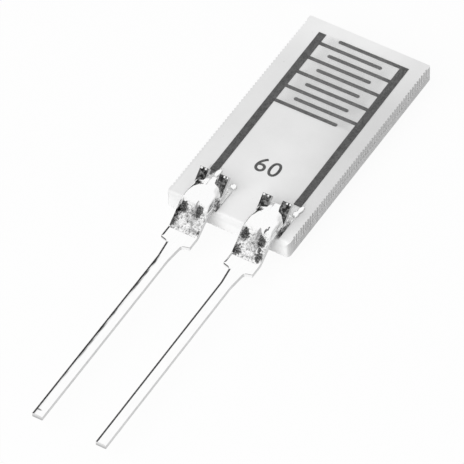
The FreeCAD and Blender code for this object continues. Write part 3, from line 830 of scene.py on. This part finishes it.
def film_sheet():
    """The coat as one clean sheet, just clear of the prints that it covers."""
    low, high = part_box("humidity_film")
    outline = film_outline(low, high)
    count = len(outline)
    under = (FACE_MM + FILM_UNDER_MM) * MM
    points = [(x, y, high.z) for x, y in outline] + [(x, y, under) for x, y in outline]
    faces = [tuple(range(count)), tuple(reversed(range(count, 2 * count)))]
    for i in range(count):
        j = (i + 1) % count
        faces.append((j, i, count + i, count + j))
    mesh = bpy.data.meshes.new("film_sheet")
    mesh.from_pydata(points, [], faces)
    mesh.materials.append(MATERIALS["polymer_film"])
    piece = put("film_sheet", mesh)
    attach(piece, "root")
    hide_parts("humidity_film")


def printed_number(text, centre_x_mm, centre_y_mm, height_mm):
    """A plain number in the comb's ink, on the bare ceramic below the combs."""
    curve = bpy.data.curves.new("printed_number", "FONT")
    curve.body = text
    curve.align_x = "CENTER"
    curve.align_y = "CENTER"
    curve.size = height_mm * MM / DIGIT_SHARE
    curve.space_character = DIGIT_SPACING
    curve.offset = STROKE_GAIN_MM * MM
    curve.extrude = INK_HALF_MM * MM
    source = put("number_curve", curve)
    bpy.context.view_layer.update()
    mesh = bpy.data.meshes.new_from_object(source)
    bpy.data.objects.remove(source)
    mesh.name = "printed_number"
    centre = (centre_x_mm * MM, centre_y_mm * MM, (FACE_MM + INK_HALF_MM) * MM)
    mesh.transform(Matrix.Translation(centre))
    mesh.materials.clear()
    mesh.materials.append(MATERIALS["electrode_print"])
    piece = put("printed_number", mesh)
    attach(piece, "root")


def seen_as_background(tree):
    """1 for rays that look straight, by reflection or through glass, and 0 for soft light."""
    path = tree.nodes.new("ShaderNodeLightPath")
    total = path.outputs["Is Camera Ray"]
    for name in ("Is Glossy Ray", "Is Transmission Ray"):
        node = tree.nodes.new("ShaderNodeMath")
        node.operation = "MAXIMUM"
        tree.links.new(total, node.inputs[0])
        tree.links.new(path.outputs[name], node.inputs[1])
        total = node.outputs["Value"]
    return total


def plain_world():
    """White where it is looked at, and an even soft light on everything."""
    world = bpy.data.worlds.new("studio")
    bpy.context.scene.world = world
    world.use_nodes = True
    tree = world.node_tree
    background = tree.nodes["Background"]
    background.inputs["Color"].default_value = (1, 1, 1, 1)
    level = tree.nodes.new("ShaderNodeMapRange")
    tree.links.new(seen_as_background(tree), level.inputs["Value"])
    level.inputs["To Min"].default_value = FILL_LEVEL
    level.inputs["To Max"].default_value = 1.0
    tree.links.new(level.outputs["Result"], background.inputs["Strength"])


def flat_sheet(name, half_x, half_y, height=0.0):
    """A level rectangle about the origin, in metres."""
    corners = [(-half_x, -half_y, height), (half_x, -half_y, height)]
    corners += [(half_x, half_y, height), (-half_x, half_y, height)]
    mesh = bpy.data.meshes.new(name)
    mesh.from_pydata(corners, [], [(0, 1, 2, 3)])
    return put(name, mesh)


def matt(name, colour):
    """A surface of one plain grey, without gloss."""
    s = Surface(name)
    s.set(Base_Color=(colour, colour, colour, 1), Roughness=1.0, Specular_IOR_Level=0.0)
    return s


def plain_floor():
    """White where it is looked at, and still a surface that the object's shadow falls on."""
    floor = flat_sheet("floor", FLOOR_HALF, FLOOR_HALF, CAD_BOX[0].z - FLOOR_GAP_MM * MM)
    s = matt("floor", FLOOR_COLOUR)
    white = s.add("ShaderNodeEmission", {"Color": (1, 1, 1, 1), "Strength": 1.0})
    share = s.times(seen_as_background(s.tree), 1 - FLOOR_SHADOW)
    feeds = {0: share, 1: s.shader.outputs["BSDF"], 2: white.outputs["Emission"]}
    mixed = s.add("ShaderNodeMixShader", feeds)
    s.feed(s.output.inputs["Surface"], mixed.outputs["Shader"])
    floor.data.materials.append(s.material)


def aim(thing, direction, distance):
    """Put a lamp or card this way and this far from the object's middle, turned to face it."""
    thing.location = MIDDLE + direction * distance
    thing.rotation_mode = "QUATERNION"
    thing.rotation_quaternion = direction.to_track_quat("Z", "Y")


def key_lamp():
    """A large soft lamp, with the power that gives its level at its distance."""
    lamp = bpy.data.lights.new("key", "AREA")
    lamp.shape = "DISK"
    lamp.size = KEY_SIZE
    lamp.energy = KEY_LEVEL * math.pi**2 * KEY_DISTANCE**2
    holder = put("key", lamp)
    aim(holder, KEY_DIRECTION, KEY_DISTANCE)
    holder.visible_glossy = False


def studio_card(name, azimuth, elevation, width, height, colour):
    """A matt card out of view, placed by degrees round and up: only reflections see it."""
    around, up = math.radians(azimuth), math.radians(elevation)
    level = math.cos(up)
    away = Vector((level * math.cos(around), level * math.sin(around), math.sin(up)))
    card = flat_sheet(name, width / 2, height / 2)
    aim(card, away, CARD_DISTANCE)
    card.data.materials.append(matt(name, colour).material)
    card.visible_camera = False
    card.visible_diffuse = False
    card.visible_shadow = False
    card.visible_transmission = False
    card.visible_volume_scatter = False


def camera():
    """The photograph's camera, from the fitted place and directions."""
    data = bpy.data.cameras.new("camera")
    data.sensor_width = SENSOR_WIDTH
    data.lens = FOCAL_PIXELS * SENSOR_WIDTH / PHOTO_WIDTH
    data.clip_start = 0.01
    data.clip_end = 10.0
    holder = put("camera", data)
    right = CAMERA_RIGHT.normalized()
    back = right.cross(CAMERA_UP).normalized()
    up = back.cross(right)
    turn = Matrix((right, up, back)).transposed()
    holder.matrix_world = Matrix.Translation(CAMERA_PLACE) @ turn.to_4x4()
    bpy.context.scene.camera = holder


MATERIALS = {
    "alumina": alumina(),
    "polymer_film": clear_film(),
    "electrode_print": dark_print(),
    "pad_print": printed_pad(),
    "tinned_strip": tinned_strip(),
    "solder": flowed_solder(),
}
for part in frame["record"]["subparts"]:
    node = frame["nodes"][part["node"]]
    node.data.materials.clear()
    node.data.materials.append(MATERIALS[part["material_slot"]])

for side, sign in SIDES.items():
    solder_piece(side, sign)
film_sheet()
printed_number("60", centre_x_mm=-0.11, centre_y_mm=4.42, height_mm=0.70)

# The front card is pale and wide, and the left one is dark and narrow
plain_world()
plain_floor()
key_lamp()
studio_card("front_card", azimuth=240, elevation=20, width=1.20, height=0.41, colour=0.85)
studio_card("left_card", azimuth=143, elevation=18, width=0.34, height=0.11, colour=0.09)
camera()
bpy.context.scene.view_settings.view_transform = "Standard"
